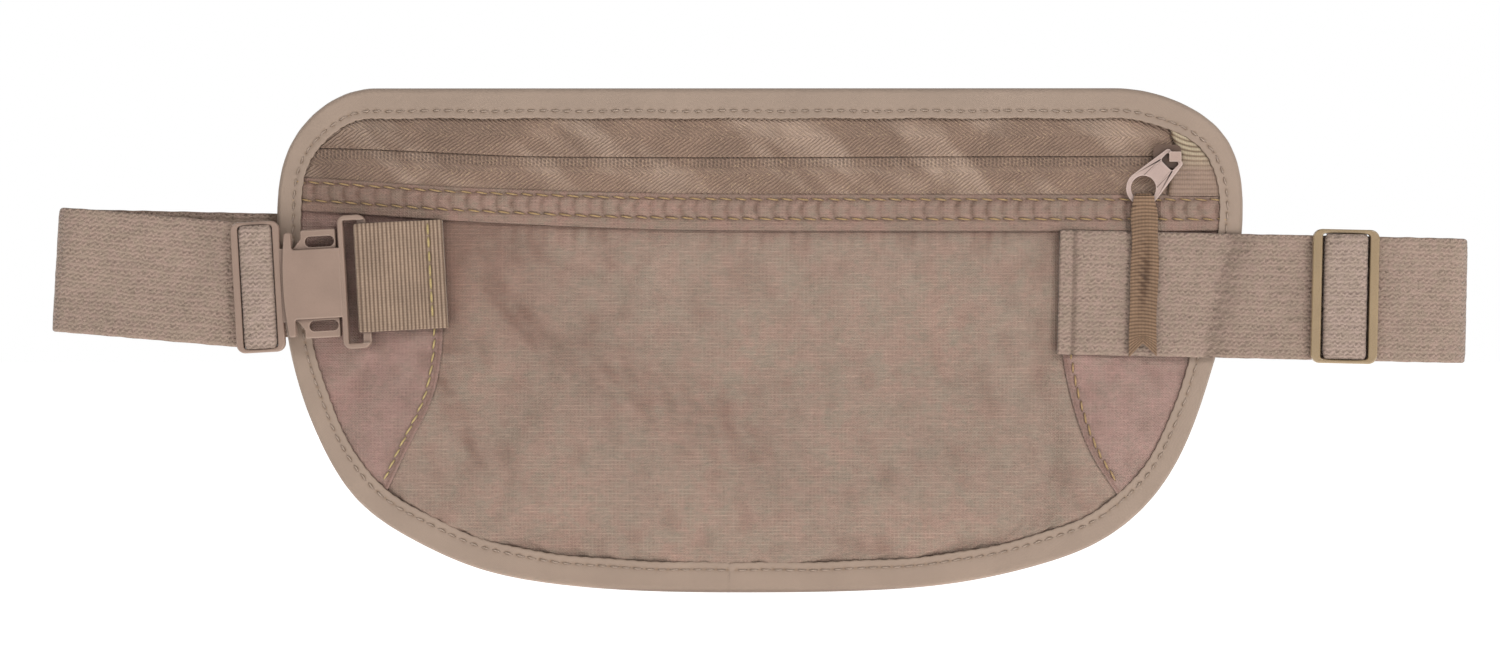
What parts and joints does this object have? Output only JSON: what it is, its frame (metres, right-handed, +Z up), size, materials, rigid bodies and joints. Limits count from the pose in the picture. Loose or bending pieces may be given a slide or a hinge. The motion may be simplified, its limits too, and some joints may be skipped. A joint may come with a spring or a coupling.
{
  "type": "money belt",
  "caption": "Flat zipped waist pouch on an elastic strap with a sliding adjuster, closed by a side release buckle.",
  "frame": {"origin": "middle of the pouch, on the rear face of its back panel", "axes": "+Z up towards the zip, +X along the belt to the zip's closed end, front of the pouch faces -Y"},
  "size_m": [0.425, 0.0161, 0.152],
  "materials": {
    "front_cloth": "woven ripstop, soft sheen",
    "wing_cloth": "woven ripstop, slightly pinker",
    "back_cloth": "soft brushed knit",
    "binding_tape": "smooth knitted tape",
    "zip_tape": "twill tape with satin sheen",
    "zip_coil": "nylon coil",
    "grosgrain": "ribbed webbing",
    "elastic": "woven elastic",
    "buckle_plastic": "matt moulded plastic",
    "adjuster_plastic": "glossy moulded plastic",
    "slider_metal": "painted die-cast metal",
    "ribbon": "ribbed ribbon"
  },
  "bodies": {
    "pouch": {"back_panel": "back_cloth", "front_panel": "front_cloth", "wing_left": "wing_cloth", "wing_right": "wing_cloth", "facing_band": "front_cloth", "edge_binding": "binding_tape", "zip_tape_upper": "zip_tape", "zip_tape_lower": "zip_tape", "zip_coil_upper": "zip_coil", "zip_coil_lower": "zip_coil", "zip_garage_tab": "grosgrain", "buckle_webbing_tab": "grosgrain", "buckle_socket": "buckle_plastic", "strap_belt_run": "elastic", "strap_return_run": "elastic"},
    "slider": {"zip_slider": "slider_metal"},
    "pull_tab": {"zip_pull_tab": "slider_metal"},
    "pull_ribbon": {"zip_pull_ribbon": "ribbon"},
    "plug": {"buckle_plug": "buckle_plastic", "strap_buckle_run": "elastic"},
    "prong_upper": {"buckle_prong_upper": "buckle_plastic"},
    "prong_lower": {"buckle_prong_lower": "buckle_plastic"},
    "adjuster": {"adjuster_frame": "adjuster_plastic", "strap_end_loop": "elastic"}
  },
  "joints": [
    {"name": "zip_travel", "type": "slide", "parent": "pouch", "child": "slider", "axis": [1, 0, 0], "range_m": [-0.2, 0]},
    {"name": "pull_tab_swing", "type": "hinge", "parent": "slider", "child": "pull_tab", "pos_m": [0.1243, -0.0076, 0.055], "axis": [-0.7071, 0, 0.7071], "range_deg": [0, 150]},
    {"name": "pull_ribbon_swing", "type": "hinge", "parent": "pull_tab", "child": "pull_ribbon", "pos_m": [0.11489, -0.0076, 0.04112], "axis": [-1, 0, 0], "range_deg": [0, 80]},
    {"name": "plug_release", "type": "slide", "parent": "pouch", "child": "plug", "axis": [-0.9984, 0, -0.0558], "range_m": [0, 0.026]},
    {"name": "prong_upper_squeeze", "type": "hinge", "parent": "plug", "child": "prong_upper", "pos_m": [-0.14004, -0.0097, 0.02609], "axis": [0, 1, 0], "range_deg": [0, 6]},
    {"name": "prong_lower_squeeze", "type": "hinge", "parent": "plug", "child": "prong_lower", "pos_m": [-0.13897, -0.0097, 0.00692], "axis": [0, 1, 0], "range_deg": [-6, 0]},
    {"name": "adjuster_slide", "type": "slide", "parent": "pouch", "child": "adjuster", "axis": [0.9998, 0, -0.0218], "range_m": [-0.015, 0.018]}
  ]
}
